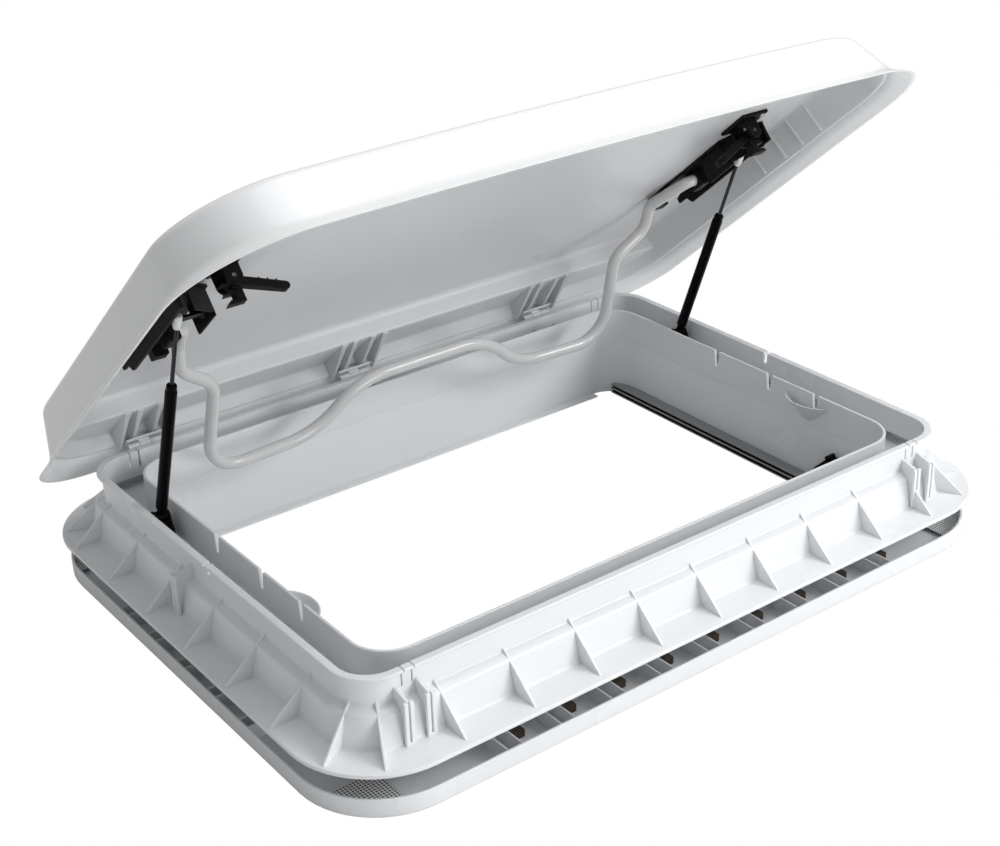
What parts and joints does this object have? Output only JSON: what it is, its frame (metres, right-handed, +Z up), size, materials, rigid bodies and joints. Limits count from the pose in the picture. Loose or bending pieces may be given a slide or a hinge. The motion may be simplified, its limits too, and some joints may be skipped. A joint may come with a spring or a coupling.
{
  "type": "rv sunroof",
  "caption": "Caravan roof sunroof, open: roof frame with gusseted collar, ceiling frame with screens, double-skin lid hinged at the back on gas struts, bow handle and latches.",
  "frame": {"origin": "middle of the roof cut-out, on the outer face of the roof, which is the underside of the flange", "axes": "+X along the long side, +Y towards the hinged back edge, +Z up out of the roof"},
  "size_m": [0.808, 0.58, 0.4876],
  "materials": {
    "white_shell": "smooth white ABS with a soft gloss",
    "white_inner": "smooth white ABS",
    "lid_outer": "polished white acrylic",
    "lid_inner": "satin pale grey-white acrylic",
    "black_plastic": "fine-grained black nylon",
    "rail_grey": "grey extruded rail with dark grooves",
    "mesh_grey": "perforated grey plate",
    "pad_brown": "dark brown foam-faced pad",
    "bar_grey": "satin anodised pull bar",
    "net_dark": "pleated dark net",
    "blind_cloth": "pleated pale blackout cloth",
    "steel": "zinc-plated steel",
    "rod_steel": "dark nitrided piston rod",
    "strut_black": "gloss black lacquer",
    "socket_white": "white acetal",
    "bow_grey": "light grey gloss coating"
  },
  "bodies": {
    "frame": {"roof_frame": "white_shell", "channel_ring": "white_inner", "ring_screws": "steel", "ceiling_frame": "white_inner", "vent_pads": "pad_brown", "corner_mesh": "mesh_grey", "cassette_cover": "white_inner", "cassette_end_cap_left": "black_plastic", "cassette_end_cap_right": "black_plastic", "flyscreen_pack": "net_dark", "blind_pack": "blind_cloth", "guide_rail_left": "rail_grey", "guide_rail_right": "rail_grey", "hinge_leaves_frame": "steel", "hinge_pins": "steel", "hinge_screws": "steel", "strut_fork_left": "black_plastic", "strut_fork_right": "black_plastic"},
    "lid": {"lid_dome": "lid_outer", "lid_pan": "lid_inner", "lid_screws": "steel", "hinge_leaves_lid": "steel", "strut_bracket_left": "black_plastic", "strut_bracket_right": "black_plastic", "ball_studs": "steel", "bow_bushes": "black_plastic", "latch_body_left": "black_plastic", "latch_body_right": "black_plastic", "latch_pins": "steel"},
    "bow": {"bow_handle": "bow_grey"},
    "flyscreen": {"flyscreen_bar": "bar_grey"},
    "blind": {"blind_bar": "bar_grey"},
    "strut_rod_left": {"strut_rod_left": "rod_steel", "strut_socket_left": "socket_white"},
    "strut_cylinder_left": {"strut_cylinder_left": "strut_black", "strut_eye_left": "strut_black"},
    "latch_lever_left": {"latch_lever_left": "black_plastic"},
    "strut_rod_right": {"strut_rod_right": "rod_steel", "strut_socket_right": "socket_white"},
    "strut_cylinder_right": {"strut_cylinder_right": "strut_black", "strut_eye_right": "strut_black"},
    "latch_lever_right": {"latch_lever_right": "black_plastic"}
  },
  "joints": [
    {"name": "lid_hinge", "type": "hinge", "parent": "frame", "child": "lid", "pos_m": [0, 0.2522, 0.0625], "axis": [1, 0, 0], "range_deg": [0, 40.5], "stiffness_Nm_per_rad": 6, "springref_deg": -103.13},
    {"name": "bow_swing", "type": "hinge", "parent": "lid", "child": "bow", "pos_m": [0, 0.08581, 0.24801], "axis": [1, 0, 0], "range_deg": [-75, 2]},
    {"name": "flyscreen_slide", "type": "slide", "parent": "frame", "child": "flyscreen", "axis": [0, 1, 0], "range_m": [0, 0.334]},
    {"name": "blind_slide", "type": "slide", "parent": "frame", "child": "blind", "axis": [0, 1, 0], "range_m": [0, 0.334]},
    {"name": "strut_swing_left", "type": "hinge", "parent": "lid", "child": "strut_rod_left", "pos_m": [-0.328, 0.03716, 0.28035], "axis": [1, 0, 0], "range_deg": [0, 17.2]},
    {"name": "strut_stroke_left", "type": "slide", "parent": "strut_rod_left", "child": "strut_cylinder_left", "axis": [0, 0.3572, -0.934], "range_m": [-0.0642, 0]},
    {"name": "latch_turn_left", "type": "hinge", "parent": "lid", "child": "latch_lever_left", "pos_m": [-0.297, -0.00499, 0.3203], "axis": [0, 0.7604, -0.6494], "range_deg": [-20, 12]},
    {"name": "strut_swing_right", "type": "hinge", "parent": "lid", "child": "strut_rod_right", "pos_m": [0.328, 0.03716, 0.28035], "axis": [1, 0, 0], "range_deg": [0, 17.2]},
    {"name": "strut_stroke_right", "type": "slide", "parent": "strut_rod_right", "child": "strut_cylinder_right", "axis": [0, 0.3572, -0.934], "range_m": [-0.0642, 0]},
    {"name": "latch_turn_right", "type": "hinge", "parent": "lid", "child": "latch_lever_right", "pos_m": [0.297, -0.00499, 0.3203], "axis": [0, -0.7604, 0.6494], "range_deg": [-20, 12]}
  ],
  "couplings": [
    {"joint": "strut_swing_left", "follows": "lid_hinge", "ratio": 0.41819},
    {"joint": "strut_stroke_left", "follows": "lid_hinge", "m_per_rad": -0.089787},
    {"joint": "strut_swing_right", "follows": "lid_hinge", "ratio": 0.41819},
    {"joint": "strut_stroke_right", "follows": "lid_hinge", "m_per_rad": -0.089787}
  ]
}
